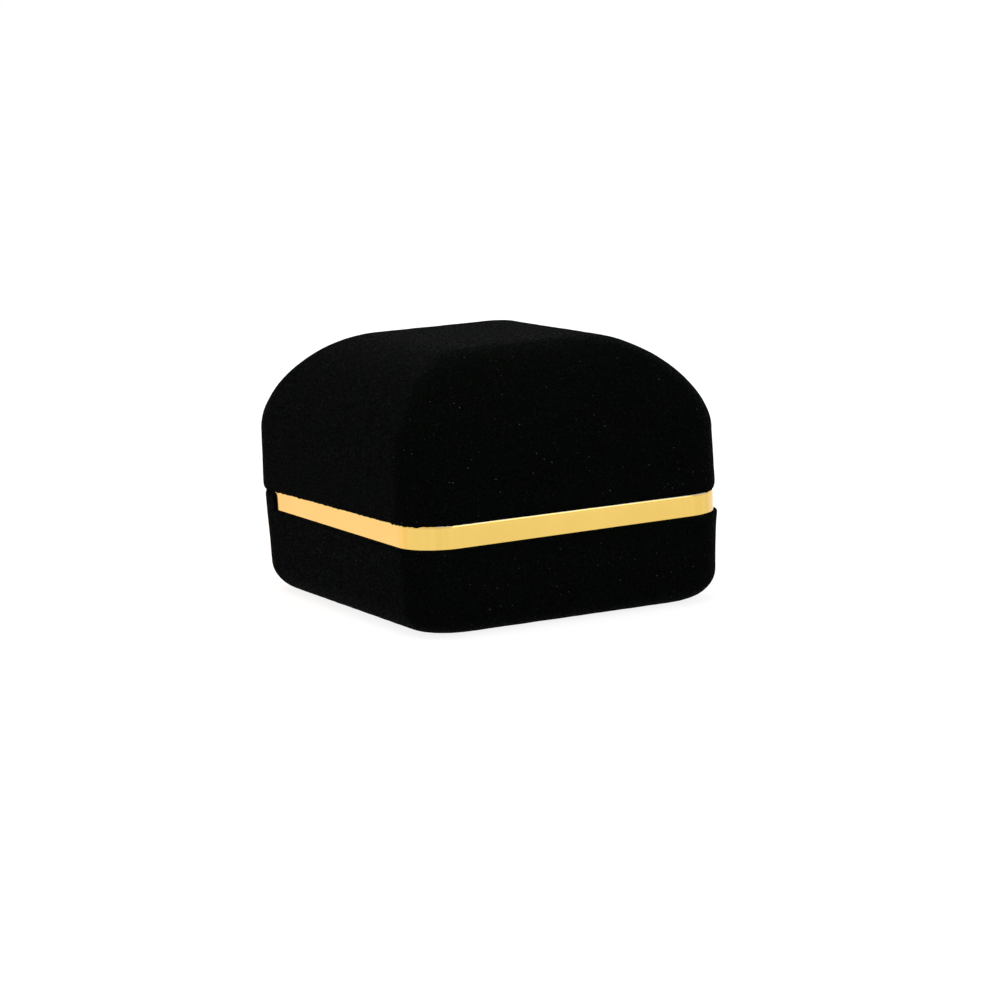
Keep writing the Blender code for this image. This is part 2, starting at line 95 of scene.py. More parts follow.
def add_node(tree, kind, settings=None, links=None):
    """Adds a node, sets its properties (names) and sockets (numbers or socket names), and links it."""
    node = tree.nodes.new(kind)
    settings = settings or {}
    for name, value in settings.items():
        if isinstance(name, str) and name not in node.inputs:
            setattr(node, name, value)
    for name, value in settings.items():
        if not isinstance(name, str) or name in node.inputs:
            node.inputs[name].default_value = value
    for name, socket in (links or {}).items():
        tree.links.new(socket, node.inputs[name])
    return node


def new_material(name):
    """An empty node material, as its data, its tree and its output node."""
    material = bpy.data.materials.new(name)
    material.use_nodes = True
    material.node_tree.nodes.clear()
    return material, material.node_tree, material.node_tree.nodes.new("ShaderNodeOutputMaterial")


world = bpy.data.worlds.new("studio")
bpy.context.scene.world = world
world.use_nodes = True
world.node_tree.nodes["Background"].inputs["Color"].default_value = linear("#ffffff")
world.node_tree.nodes["Background"].inputs["Strength"].default_value = 1.0

for name, place, size, power in (
    ("overhead_box", (-0.10, 0.10, 0.90), 0.80, 5.0),
    ("front_box", (0.25, -0.70, 0.38), 0.40, 0.65),
):
    bpy.ops.object.light_add(type="AREA", location=place)
    lamp = bpy.context.object
    lamp.name = name
    lamp.rotation_euler = (subject - lamp.location).to_track_quat("-Z", "Y").to_euler()
    lamp.data.size = size
    lamp.data.energy = power

bpy.ops.mesh.primitive_plane_add(size=6, location=(0, 0, 0))
table = bpy.context.object
table.name = "table"

# Opal acrylic, lit from below, so that shadows stay faint. The sheet is paler away from the box,
# where less light comes through it. One patch behind the left side is painted warm, a painted pool
# of warm light for the gold's left side to reflect.
table_near, table_far = 0.08, 0.9     # where these changes start and end
painted_warm_light = (-0.075, 0.085, 0)
opal, tree, output = new_material("lit_opal_acrylic")
coords = add_node(tree, "ShaderNodeTexCoord")
reach = add_node(tree, "ShaderNodeVectorMath", {"operation": "LENGTH"}, {0: coords.outputs["Object"]})
outward = add_node(tree, "ShaderNodeMapRange", {"From Min": table_near, "From Max": table_far},
                   {"Value": reach.outputs["Value"]})
sheet = add_node(tree, "ShaderNodeMix", {"data_type": "RGBA", 6: linear("#6c6c6c"), 7: linear("#d0d0d0")},
                 {0: outward.outputs["Result"]})
# Painted warm light: a warm pool mixed into the sheet's colour behind the box's left side.
from_warm_light = add_node(tree, "ShaderNodeVectorMath", {"operation": "DISTANCE", 1: painted_warm_light},
                      {0: coords.outputs["Object"]})
warm_light_share = add_node(tree, "ShaderNodeMapRange",
                 {"From Min": 0.02, "From Max": 0.11, "To Min": 1.0, "To Max": 0.0},
                 {"Value": from_warm_light.outputs["Value"]})
warm_lit_sheet = add_node(tree, "ShaderNodeMix", {"data_type": "RGBA", 7: linear("#9a7052")},
                  {0: warm_light_share.outputs["Result"], 6: sheet.outputs[2]})
glow = add_node(tree, "ShaderNodeMapRange",
                {"From Min": table_near, "From Max": table_far, "To Min": 0.85, "To Max": 0.55},
                {"Value": reach.outputs["Value"]})
shader = add_node(tree, "ShaderNodeBsdfPrincipled", {"Roughness": 0.9, "Emission Color": (1, 1, 1, 1)},
                  {"Base Color": warm_lit_sheet.outputs[2], "Emission Strength": glow.outputs["Result"]})
tree.links.new(shader.outputs["BSDF"], output.inputs["Surface"])
table.data.materials.append(opal)


# ---- Base shell -------------------------------------------------------------------------------
# A tub moulded in polystyrene and flocked black inside and out. Its walls are thin and drafted,
# its lower edge is well rounded, and its back wall and back corners stand up to the lid.

WIDTH = 50.8 * MM
DEPTH = 57.15 * MM
CORNER = 6.8 * MM
WALL = 1.6 * MM
POINT_SPACING = 0.28 * MM


def start_rectangle(name, half_x, half_y):
    """A flat rectangle as one selected face, in edit mode."""
    bpy.ops.object.select_all(action="DESELECT")
    bpy.ops.mesh.primitive_plane_add(size=2, location=(0, 0, 0))
    piece = bpy.context.object
    piece.name = name
    piece.scale = (half_x, half_y, 1)
    bpy.ops.object.transform_apply(location=False, rotation=False, scale=True)
    bpy.ops.object.mode_set(mode="EDIT")
    bpy.ops.mesh.select_mode(type="FACE")
    bpy.ops.mesh.select_all(action="SELECT")
    return piece


def start_outline(name, half_x, half_y, radius, z, middle_y=case_y, spacing=POINT_SPACING):
    """A rounded rectangle as one selected face, with evenly spaced points, in edit mode."""
    piece = start_rectangle(name, half_x, half_y)
    steps = max(6, round(radius * math.pi / 2 / spacing))
    bpy.ops.mesh.bevel(offset=radius, segments=steps, profile=0.5, affect="VERTICES")
    for direction, half in ((0, half_x), (1, half_y)):
        straight = 2 * (half - radius)
        select_edges(piece, lambda a, b: abs(a[direction] - b[direction]) > 0.9 * straight)
        bpy.ops.mesh.subdivide(number_cuts=max(1, round(straight / spacing)))
    bpy.ops.mesh.select_mode(type="FACE")
    bpy.ops.mesh.select_all(action="SELECT")
    bpy.ops.mesh.dissolve_faces()
    bpy.ops.transform.translate(value=(0, middle_y, z))
    return piece


def select_edges(piece, wanted):
    """In edit mode, selects only the edges whose two ends pass a test."""
    bpy.ops.mesh.select_mode(type="EDGE")
    bpy.ops.mesh.select_all(action="DESELECT")
    bpy.ops.object.mode_set(mode="OBJECT")
    points = piece.data.vertices
    for edge in piece.data.edges:
        edge.select = wanted(points[edge.vertices[0]].co, points[edge.vertices[1]].co)
    bpy.ops.object.mode_set(mode="EDIT")


def travel(start, outlines, middle_y=case_y):
    """Draws the selected end face out through outlines of (half_x, half_y, radius, z).

    Each step insets the face until its corners can scale to their radius, then scales and lifts it.
    """
    half_x, half_y, radius, z = start
    for next_x, next_y, next_radius, next_z in outlines:
        for_corners = (radius * next_x - next_radius * half_x) / max(next_x - next_radius, 0.01 * MM)
        inset = min(max(for_corners, 0), half_x * 0.5)
        bpy.ops.mesh.inset(thickness=inset, depth=0, use_even_offset=True)
        scale = (next_x / (half_x - inset), next_y / (half_y - inset), 1)
        if max(abs(part - 1) for part in scale) > 1e-6:
            bpy.ops.transform.resize(value=scale, center_override=(0, middle_y, z))
        bpy.ops.transform.translate(value=(0, 0, next_z - z))
        half_x, half_y, radius, z = next_x, next_y, next_radius, next_z


def turn_to_open_end():
    """Fills the one open loop with a face and leaves only that face selected."""
    bpy.ops.mesh.select_mode(type="EDGE")
    bpy.ops.mesh.select_all(action="DESELECT")
    bpy.ops.mesh.select_non_manifold()
    bpy.ops.mesh.edge_face_add()
    bpy.ops.mesh.select_mode(type="FACE")


def close_middle(middle_y=case_y, rings=6):
    """Fills the selected flat end face with rings of faces that shrink to its middle."""
    for ring in range(rings, 0, -1):
        bpy.ops.mesh.inset(thickness=0, depth=0)
        share = (ring - 1) / ring if ring > 1 else 0.3
        bpy.ops.transform.resize(value=(share, share, 1), center_override=(0, middle_y, 0))


def active_only(piece):
    """Selects one object, and makes it the active one."""
    bpy.ops.object.select_all(action="DESELECT")
    piece.select_set(True)
    bpy.context.view_layer.objects.active = piece


def apply_modifiers(piece):
    """Applies every modifier in order."""
    active_only(piece)
    for modifier in list(piece.modifiers):
        bpy.ops.object.modifier_apply(modifier=modifier.name)


def face_outwards():
    """Leaves edit mode with every face pointing out."""
    bpy.ops.mesh.select_all(action="SELECT")
    bpy.ops.mesh.normals_make_consistent(inside=False)
    bpy.ops.object.mode_set(mode="OBJECT")


def cut_away(piece, cutter):
    """Cuts the cutter's shape out of a piece and removes the cutter."""
    cut = piece.modifiers.new("cut", "BOOLEAN")
    cut.operation = "DIFFERENCE"
    cut.solver = "EXACT"
    cut.object = cutter
    apply_modifiers(piece)
    bpy.data.objects.remove(cutter)


def cut_box(piece, low, high):
    """Cuts a box out of a piece."""
    middle = (Vector(low) + Vector(high)) / 2
    bpy.ops.object.select_all(action="DESELECT")
    bpy.ops.mesh.primitive_cube_add(size=1, location=middle, scale=Vector(high) - Vector(low))
    cut_away(piece, bpy.context.object)


def ruffle(piece, name, grain, height, weight=None, direction="NORMAL"):
    """Moves the surface by cloud noise of a real grain size, up to half of height each way."""
    noise = bpy.data.textures.new(name, "CLOUDS")
    noise.noise_scale = grain
    noise.noise_depth = 2
    move = piece.modifiers.new(name, "DISPLACE")
    move.texture = noise
    move.texture_coords = "LOCAL"
    move.strength = height
    move.mid_level = 0.5
    move.direction = direction
    if weight:
        group = piece.vertex_groups.new(name=name)
        for point in piece.data.vertices:
            group.add([point.index], min(max(weight(point.co), 0), 1), "REPLACE")
        move.vertex_group = name
    apply_modifiers(piece)


def finish_piece(piece, body, replaced, material, smooth_angle=40):
    """Shades a piece, gives it its material, hangs it on its body's empty and hides the parts it replaces."""
    active_only(piece)
    bpy.ops.object.shade_smooth_by_angle(angle=math.radians(smooth_angle))
    piece.data.materials.clear()
    piece.data.materials.append(material)
    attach(piece, body)
    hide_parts(*replaced)


# Black nylon flock: upright fibres half a millimetre long in glue. It swallows light seen head on
# and blooms grey where it is seen edge on. Tufts, clumps and a few pale motes of lint break it up,
# all drawn as coarse as they need to be to show. Sparse clumps are painted lighter as well, a
# painted glint of fibre tips catching the light.
flock, tree, output = new_material("black_nylon_flock")
coords = add_node(tree, "ShaderNodeTexCoord")
place = coords.outputs["Object"]
tufts = add_node(tree, "ShaderNodeTexNoise", {"Scale": 1 / (0.22 * MM), "Detail": 3, "Roughness": 0.65},
                 {"Vector": place})
patches = add_node(tree, "ShaderNodeTexNoise", {"Scale": 1 / (4 * MM), "Detail": 2}, {"Vector": place})
depth_of_pile = add_node(tree, "ShaderNodeMapRange", {"From Min": 0.35, "From Max": 0.7},
                         {"Value": tufts.outputs["Fac"]})
pile = add_node(tree, "ShaderNodeMix",
                {"data_type": "RGBA", 6: linear("#010201"), 7: linear("#0a0c0b")},
                {0: depth_of_pile.outputs["Result"]})
worn = add_node(tree, "ShaderNodeMix", {"data_type": "RGBA", "blend_type": "MULTIPLY", 0: 0.35},
                {6: pile.outputs[2], 7: patches.outputs["Color"]})
motes = add_node(tree, "ShaderNodeTexVoronoi", {"Scale": 1 / (0.6 * MM)}, {"Vector": place})
mote_draw = add_node(tree, "ShaderNodeSeparateColor", {}, {"Color": motes.outputs["Color"]})
mote_size = add_node(tree, "ShaderNodeMapRange",
                     {"From Min": 0.55, "From Max": 1.0, "To Min": 0.0, "To Max": 0.11},
                     {"Value": mote_draw.outputs["Red"]})
is_mote = add_node(tree, "ShaderNodeMath", {"operation": "LESS_THAN"},
                   {0: motes.outputs["Distance"], 1: mote_size.outputs["Result"]})
mote_strength = add_node(tree, "ShaderNodeMath", {"operation": "MULTIPLY"},
                         {0: is_mote.outputs["Value"], 1: mote_draw.outputs["Green"]})
speckled = add_node(tree, "ShaderNodeMix", {"data_type": "RGBA", 7: linear("#565958")},
                    {0: mote_strength.outputs["Value"], 6: worn.outputs[2]})
clumps = add_node(tree, "ShaderNodeTexNoise", {"Scale": 1 / (0.34 * MM), "Detail": 1}, {"Vector": place})
# Painted glint: sparse clumps of fibre tips painted lighter, as if catching the light.
painted_tip_glint = add_node(tree, "ShaderNodeMapRange",
                {"From Min": 0.58, "From Max": 0.78, "To Min": 0.0, "To Max": 0.12},
                {"Value": clumps.outputs["Fac"]})
tip_glinted = add_node(tree, "ShaderNodeMix", {"data_type": "RGBA", 7: linear("#26292a")},
                  {0: painted_tip_glint.outputs["Result"], 6: speckled.outputs[2]})
relief = add_node(tree, "ShaderNodeBump", {"Strength": 1.0, "Distance": 0.12 * MM},
                  {"Height": tufts.outputs["Fac"]})
bloom = add_node(tree, "ShaderNodeMapRange",
                 {"From Min": 0.4, "From Max": 0.6, "To Min": 0.009, "To Max": 0.051},
                 {"Value": clumps.outputs["Fac"]})
shader = add_node(
    tree, "ShaderNodeBsdfPrincipled",
    {"Roughness": 1.0, "Specular IOR Level": 0.0, "Sheen Roughness": 0.23,
     "Sheen Tint": linear("#e6eae8")},
    {"Base Color": tip_glinted.outputs[2], "Normal": relief.outputs["Normal"],
     "Sheen Weight": bloom.outputs["Result"]})
tree.links.new(shader.outputs["BSDF"], output.inputs["Surface"])

base_top = base_high.z
front_rim = 12.95 * MM
return_y = case_y + 20.6 * MM     # behind this the wall stands up to the lid
edge_round = 4.2 * MM             # round along the table
corner_kept = 0.72                # share of the radius lost to that round that the corners get back
rim_tall, rim_wide = 0.9 * MM, 0.3 * MM
rim_swell = 0.26 * MM             # flock built up on the right-hand rim
swell_from, swell_foot = 23.6 * MM, 7 * MM
hinge_gap = 14 * MM               # half the gap left in both shells for the hinge's barrel


def base_outline(inset, z, draft=0.043):
    """The base's drafted outline at a height, drawn in by an inset."""
    inset = inset + draft * (front_rim - z)
    return WIDTH / 2 - inset, DEPTH / 2 - inset, max(CORNER - inset, 1 * MM), z


def even_steps(first, last, count):
    """Values from first to last in equal steps, without the first."""
    return [first + (last - first) * step / count for step in range(1, count + 1)]


base_start = base_outline(0, base_top - rim_tall)
base = start_outline("flocked_base", *base_start)
down = [base_outline(0, z) for z in even_steps(base_start[3], edge_round, 18)]
for turn in even_steps(0, math.pi / 2, 10):
    drawn_in = edge_round * (1 - math.cos(turn))
    half_x, half_y, radius, z = base_outline(drawn_in, edge_round * (1 - math.sin(turn)))
    down.append((half_x, half_y, radius + corner_kept * drawn_in, z))
travel(base_start, down)
close_middle()
turn_to_open_end()
inside = []
for turn in even_steps(0, math.pi / 2, 6):
    inside.append(base_outline(rim_wide * (1 - math.cos(turn)), base_start[3] + rim_tall * math.sin(turn)))
inside.append(base_outline(WALL - 0.25 * MM, base_top))
inside.append(base_outline(WALL - 0.08 * MM, base_top - 0.08 * MM))
inside.append(base_outline(WALL, base_top - 0.3 * MM))
inside += [base_outline(WALL, z) for z in even_steps(base_top - 0.3 * MM, edge_round, 12)]
inner_round = edge_round - WALL
for turn in even_steps(0, math.pi / 2, 5):
    inside.append(base_outline(WALL + inner_round * (1 - math.cos(turn)),
                               WALL + inner_round * (1 - math.sin(turn))))
travel(base_start, inside)
close_middle()
for y in (return_y, return_y - 0.15 * MM):
    bpy.ops.mesh.select_all(action="SELECT")
    bpy.ops.mesh.bisect(plane_co=(0, y, 0), plane_no=(0, 1, 0))
face_outwards()


def rim_dip(x):
    """How low the base's rim and the band's lower edge hang, from nothing at the right to the left."""
    lowest = 0.31 * MM
    return lowest * (0.5 - x / WIDTH)


# In front of return_y the wall above the fold line is pressed down to the front rim.
fold_line = 11 * MM
drop = (front_rim - fold_line) / (base_top - fold_line)
for point in base.data.vertices:
    if point.co.y < return_y - 0.1 * MM and point.co.z > fold_line:
        low_rim = drop - rim_dip(point.co.x) / (base_top - fold_line)
        point.co.z = fold_line + (point.co.z - fold_line) * low_rim
    if point.co.x > swell_from and swell_foot < point.co.z < front_rim + 0.5 * MM:
        outermost = (point.co.x - swell_from) / (1.8 * MM)
        point.co.x += rim_swell * outermost * (point.co.z - swell_foot) / (6 * MM)
cut_box(base, (-hinge_gap, axis.y - 3.75 * MM, axis.z - 1.9 * MM),
        (hinge_gap, axis.y + 5 * MM, axis.z + 5 * MM))
ruffle(base, "flocked_rim", 0.7 * MM, 0.22 * MM, lambda place: (place.z - 11.5 * MM) / (1.2 * MM), "Z")
ruffle(base, "flocked_wall", 2.4 * MM, 0.07 * MM)
for point in base.data.vertices:
    point.co.z = max(point.co.z, 0)
finish_piece(base, "base", ["base_shell"], flock)


# ---- Trim band --------------------------------------------------------------------------------
# A U of polystyrene, vacuum metallised in gold and lacquered, pressed over the base's rim. Its
# face stands just behind the flock, and a tongue above it steers the lid shut.

band_face = 0.35 * MM             # behind the base's face
band_under = 13.07 * MM
band_ledge = 15.95 * MM
band_round_wide, band_round_tall = 0.2 * MM, 0.5 * MM
tongue_out, tongue_in = 2.0 * MM, 2.8 * MM
tongue_top = 17.35 * MM
tongue_round = 0.25 * MM
skirt_in, skirt_bottom = 1.9 * MM, 9.0 * MM
band_rise = 0.0034                # the ledge climbs this much towards the front, as the shut lid does


def band_outline(inset, z):
    """The band's undrafted outline, drawn in by an inset."""
    return WIDTH / 2 - inset, DEPTH / 2 - inset, CORNER - inset, z


# Vacuum metallised gold: a mirror-bright film of aluminium under yellow lacquer. The moulding
# beneath gives it a faint orange peel and a few dimples. A pale strip, broken in patches, is painted
# along the top edge in front as a painted highlight, and upright streaks are painted round the
# corners as painted reflections of their curves.
gold, tree, output = new_material("vacuum_metallised_gold")
coords = add_node(tree, "ShaderNodeTexCoord")
place = coords.outputs["Object"]
peel = add_node(tree, "ShaderNodeTexNoise", {"Scale": 1 / (2.38 * MM), "Detail": 2}, {"Vector": place})
drift = add_node(tree, "ShaderNodeTexNoise", {"Scale": 1 / (9 * MM), "Detail": 2}, {"Vector": place})
# Painted reflections: upright streaks painted darker round the corners, for the stripes the curved corners
# reflect.
upright = add_node(tree, "ShaderNodeMapping", {"Scale": (1, 1, 0.02)}, {"Vector": place})
corner_reflection_noise = add_node(tree, "ShaderNodeTexNoise", {"Scale": 1 / (1.1 * MM), "Detail": 1},
                {"Vector": upright.outputs["Vector"]})
tone = add_node(tree, "ShaderNodeMix",
                {"data_type": "RGBA", 6: linear("#ddb85e"), 7: linear("#e7c56c")}, {0: drift.outputs["Fac"]})
spot = add_node(tree, "ShaderNodeSeparateXYZ", {}, {"Vector": place})
across = add_node(tree, "ShaderNodeMath", {"operation": "MULTIPLY"},
                  {0: spot.outputs["X"], 1: spot.outputs["Y"]})
diagonal = add_node(tree, "ShaderNodeMath", {"operation": "ABSOLUTE"}, {0: across.outputs["Value"]})
at_corner = add_node(tree, "ShaderNodeMapRange",
                     {"From Min": 18 * MM * 26 * MM, "From Max": 21 * MM * 27 * MM,
                      "To Min": 0.05, "To Max": 0.4},
                     {"Value": diagonal.outputs["Value"]})
reflection_streak = add_node(tree, "ShaderNodeMapRange", {"From Min": 0.45, "From Max": 0.7},
                  {"Value": corner_reflection_noise.outputs["Fac"]})
amount = add_node(tree, "ShaderNodeMath", {"operation": "MULTIPLY"},
                  {0: reflection_streak.outputs["Result"], 1: at_corner.outputs["Result"]})
reflection_streaked = add_node(tree, "ShaderNodeMix", {"data_type": "RGBA", 7: linear("#d3b04f")},
                    {0: amount.outputs["Value"], 6: tone.outputs[2]})
# Painted highlight: a pale strip along the band's top edge in front, broken in patches.
height = add_node(tree, "ShaderNodeMath", {"operation": "MULTIPLY_ADD", 1: band_rise},
                  {0: spot.outputs["Y"], 2: spot.outputs["Z"]})
above = add_node(tree, "ShaderNodeMapRange", {"From Min": 15.83 * MM, "From Max": 15.88 * MM},
                 {"Value": height.outputs["Value"]})
below = add_node(tree, "ShaderNodeMapRange",
                 {"From Min": 15.98 * MM, "From Max": 16.03 * MM, "To Min": 1.0, "To Max": 0.0},
                 {"Value": height.outputs["Value"]})
edge = add_node(tree, "ShaderNodeMath", {"operation": "MULTIPLY"},
                {0: above.outputs["Result"], 1: below.outputs["Result"]})
in_front = add_node(tree, "ShaderNodeMapRange",
                    {"From Min": -27.95 * MM, "From Max": -28.15 * MM}, {"Value": spot.outputs["Y"]})
highlight_breaks = add_node(tree, "ShaderNodeTexNoise", {"Scale": 1 / (0.9 * MM), "Detail": 2}, {"Vector": place})
highlight_patchiness = add_node(tree, "ShaderNodeMapRange",
                  {"From Min": 0.38, "From Max": 0.52, "To Min": 0.35, "To Max": 1.0},
                  {"Value": highlight_breaks.outputs["Fac"]})
front_highlight_strip = add_node(tree, "ShaderNodeMath", {"operation": "MULTIPLY"},
                  {0: edge.outputs["Value"], 1: in_front.outputs["Result"]})
painted_highlight = add_node(tree, "ShaderNodeMath", {"operation": "MULTIPLY"},
                {0: front_highlight_strip.outputs["Value"], 1: highlight_patchiness.outputs["Result"]})
finish = add_node(tree, "ShaderNodeMix", {"data_type": "RGBA", 7: linear("#bdb49f")},
                  {0: painted_highlight.outputs["Value"], 6: reflection_streaked.outputs[2]})
dimples = add_node(tree, "ShaderNodeTexVoronoi", {"Scale": 1 / (5 * MM)}, {"Vector": place})
dimple = add_node(tree, "ShaderNodeMapRange", {"From Min": 0.0, "From Max": 0.09},
                  {"Value": dimples.outputs["Distance"]})
dented = add_node(tree, "ShaderNodeMath", {"operation": "MULTIPLY_ADD", 1: 0.15},
                  {0: peel.outputs["Fac"], 2: dimple.outputs["Result"]})
haze = add_node(tree, "ShaderNodeMapRange", {"To Min": 0.10, "To Max": 0.18}, {"Value": drift.outputs["Fac"]})
dents = add_node(tree, "ShaderNodeBump", {"Strength": 0.5, "Distance": 0.03 * MM},
                 {"Height": dented.outputs["Value"]})
shader = add_node(
    tree, "ShaderNodeBsdfPrincipled",
    {"Metallic": 1.0, "Coat Weight": 0.2, "Coat Roughness": 0.05},
    {"Base Color": finish.outputs[2], "Roughness": haze.outputs["Result"],
     "Normal": dents.outputs["Normal"]})
tree.links.new(shader.outputs["BSDF"], output.inputs["Surface"])

band_start = band_outline(band_face, band_under)
band = start_outline("gold_band", *band_start)
upper = [band_outline(band_face, z) for z in even_steps(band_under, band_ledge - band_round_tall, 4)]
for turn in even_steps(0, math.pi / 2, 9):
    upper.append(band_outline(band_face + band_round_wide * (1 - math.cos(turn)),
                              band_ledge - band_round_tall * (1 - math.sin(turn))))
upper.append(band_outline(tongue_out, band_ledge))
upper.append(band_outline(tongue_out, tongue_top - tongue_round))
for turn in even_steps(0, math.pi / 2, 4):
    upper.append(band_outline(tongue_out + tongue_round * (1 - math.cos(turn)),
                              tongue_top - tongue_round * (1 - math.sin(turn))))
upper.append(band_outline(tongue_in, tongue_top))
travel(band_start, upper)
bpy.ops.mesh.delete(type="FACE")
select_edges(band, lambda a, b: a.z < band_under + 1e-6 and b.z < band_under + 1e-6)
bpy.ops.mesh.edge_face_add()
bpy.ops.mesh.select_mode(type="FACE")
lower = [
    band_outline(skirt_in, band_under),
    band_outline(skirt_in, skirt_bottom),
    band_outline(tongue_in, skirt_bottom),
    band_outline(tongue_in, tongue_top),
]
travel(band_start, lower)
bpy.ops.mesh.delete(type="FACE")
bpy.ops.mesh.select_mode(type="VERT")
bpy.ops.mesh.select_all(action="SELECT")
bpy.ops.mesh.remove_doubles(threshold=0.02 * MM)
bpy.ops.mesh.select_all(action="SELECT")
bpy.ops.mesh.bisect(plane_co=(0, return_y - 0.3 * MM, 0), plane_no=(0, 1, 0),
                    clear_outer=True, use_fill=True)
face_outwards()
for point in band.data.vertices:
    if abs(point.co.z - band_under) < 0.1 * MM:
        point.co.z -= rim_dip(point.co.x)
    elif point.co.z > band_under:
        point.co.z += band_rise * (return_y - point.co.y)
finish_piece(band, "base", ["trim_band"], gold, 30)


# ---- Hinge: base leaf, pin, spring and rivets --------------------------------------------------
# The base's leaf is stamped from brass-plated steel and rolled round a headed pin at the back. A
# strip of spring steel bears on the lid's knuckle to snap it shut. Rivets hold them to the wall.

SHEET = 0.35 * MM
KNUCKLE_BORE = 0.6 * MM
KNUCKLE_MIDDLE = KNUCKLE_BORE + SHEET / 2
LEAF_HALF = 13 * MM
LEAF_REACH = 8.2 * MM             # from the pin along the wall
LEAF_BEND = 0.6 * MM
ROLL = math.radians(305)
LID_KNUCKLE_HALF = 4.9 * MM
RIVET_X, RIVET_DROP = 9.5 * MM, 5 * MM

# Brass-plated steel: a thin yellow plate over rolled strip. The rolling leaves fine lines along it,
# and handling dulls it in patches.
brass, tree, output = new_material("brass_plated_steel")
coords = add_node(tree, "ShaderNodeTexCoord")
stretch = add_node(tree, "ShaderNodeMapping", {"Scale": (0.05, 1, 1)}, {"Vector": coords.outputs["Object"]})
lines = add_node(tree, "ShaderNodeTexNoise", {"Scale": 1 / (0.12 * MM), "Detail": 2},
                 {"Vector": stretch.outputs["Vector"]})
dull = add_node(tree, "ShaderNodeTexNoise", {"Scale": 1 / (3 * MM), "Detail": 3},
                {"Vector": coords.outputs["Object"]})
tone = add_node(tree, "ShaderNodeMix", {"data_type": "RGBA", 6: linear("#c39a4c"), 7: linear("#dcb765")},
                {0: dull.outputs["Fac"]})
haze = add_node(tree, "ShaderNodeMapRange", {"To Min": 0.2, "To Max": 0.42}, {"Value": dull.outputs["Fac"]})
scores = add_node(tree, "ShaderNodeBump", {"Strength": 0.25, "Distance": 0.02 * MM},
                  {"Height": lines.outputs["Fac"]})
shader = add_node(tree, "ShaderNodeBsdfPrincipled", {"Metallic": 1.0},
                  {"Base Color": tone.outputs[2], "Roughness": haze.outputs["Result"],
                   "Normal": scores.outputs["Normal"]})
tree.links.new(shader.outputs["BSDF"], output.inputs["Surface"])

# Bright spring steel: hard rolled strip, colder and greyer than the leaf, with fine lines along it.
spring_finish, tree, output = new_material("rolled_spring_steel")
coords = add_node(tree, "ShaderNodeTexCoord")
stretch = add_node(tree, "ShaderNodeMapping", {"Scale": (1, 0.05, 0.05)},
                   {"Vector": coords.outputs["Object"]})
lines = add_node(tree, "ShaderNodeTexNoise", {"Scale": 1 / (0.1 * MM), "Detail": 2},
                 {"Vector": stretch.outputs["Vector"]})
tone = add_node(tree, "ShaderNodeMix", {"data_type": "RGBA", 6: linear("#8f949a"), 7: linear("#b4b8bc")},
                {0: lines.outputs["Fac"]})
haze = add_node(tree, "ShaderNodeMapRange", {"To Min": 0.22, "To Max": 0.36}, {"Value": lines.outputs["Fac"]})
shader = add_node(tree, "ShaderNodeBsdfPrincipled", {"Metallic": 1.0},
                  {"Base Color": tone.outputs[2], "Roughness": haze.outputs["Result"]})
tree.links.new(shader.outputs["BSDF"], output.inputs["Surface"])


def start_strip(name, half_x, y, z, sheet):
    """The cut end of a strip of sheet metal, selected in edit mode."""
    piece = start_rectangle(name, half_x, sheet / 2)
    bpy.ops.transform.translate(value=(0, y, z))
    return piece


def draw_on(y, z):
    """Extrudes the strip's end by a step."""
    bpy.ops.mesh.extrude_region_move(TRANSFORM_OT_translate={"value": (0, y, z)})


def bend_on(y, z, turn, steps):
    """Rolls the strip's end round a centre, by a turn that is positive from Y up to Z."""
    bpy.ops.mesh.spin(steps=steps, angle=-turn, center=(0, y, z), axis=(1, 0, 0))


def soften_edges(piece, width, segments=2):
    """Takes the sharpness off stamped or cut edges."""
    soft = piece.modifiers.new("soft", "BEVEL")
    soft.width = width
    soft.segments = segments
    soft.limit_method = "ANGLE"
    soft.angle_limit = math.radians(50)
    apply_modifiers(piece)


def drill(piece, x, y, z, radius, long):
    """Cuts a round hole through a piece, along Y."""
    bpy.ops.object.select_all(action="DESELECT")
    bpy.ops.mesh.primitive_cylinder_add(vertices=32, radius=radius, depth=long, location=(x, y, z),
                                        rotation=(math.pi / 2, 0, 0))
    cut_away(piece, bpy.context.object)


def turned_piece(name, outline, middle, sides=32):
    """A piece turned about X from (radius, distance) points, in object mode."""
    bpy.ops.object.select_all(action="DESELECT")
    first_radius, first_x = outline[0]
    bpy.ops.mesh.primitive_circle_add(vertices=sides, radius=first_radius, fill_type="NGON",
                                      rotation=(0, math.pi / 2, 0))
    piece = bpy.context.object
    piece.name = name
    bpy.ops.object.transform_apply(location=False, rotation=True, scale=False)
    bpy.ops.object.mode_set(mode="EDIT")
    bpy.ops.mesh.select_mode(type="FACE")
    bpy.ops.mesh.select_all(action="SELECT")
    bpy.ops.transform.translate(value=(first_x, 0, 0))
    radius, x = outline[0]
    for next_radius, next_x in outline[1:]:
        bpy.ops.mesh.extrude_region_move(TRANSFORM_OT_translate={"value": (next_x - x, 0, 0)})
        share = next_radius / radius
        bpy.ops.transform.resize(value=(1, share, share), center_override=(next_x, 0, 0))
        radius, x = next_radius, next_x
    face_outwards()
    piece.data.transform(Matrix.Translation(middle))
    return piece


def dome_rivet(name, x, face_y, z):
    """A rivet with a domed head on a face, its shank pointing back."""
    head, shank = 1.2 * MM, 0.6 * MM
    outline = [(head * math.sin(turn), -0.4 * MM * math.cos(turn)) for turn in (0.12, 0.4, 0.7, 1.0, 1.3)]
    outline += [(head, -0.05 * MM), (head * 0.98, 0), (shank, 0)]
    outline += [(shank, 1.5 * MM), (0.8 * shank, 1.6 * MM)]
    piece = turned_piece(name, outline, Vector((0, 0, 0)))
    piece.data.transform(Matrix.Translation((x, face_y, z)) @ Matrix.Rotation(math.pi / 2, 4, "Z"))
    return piece


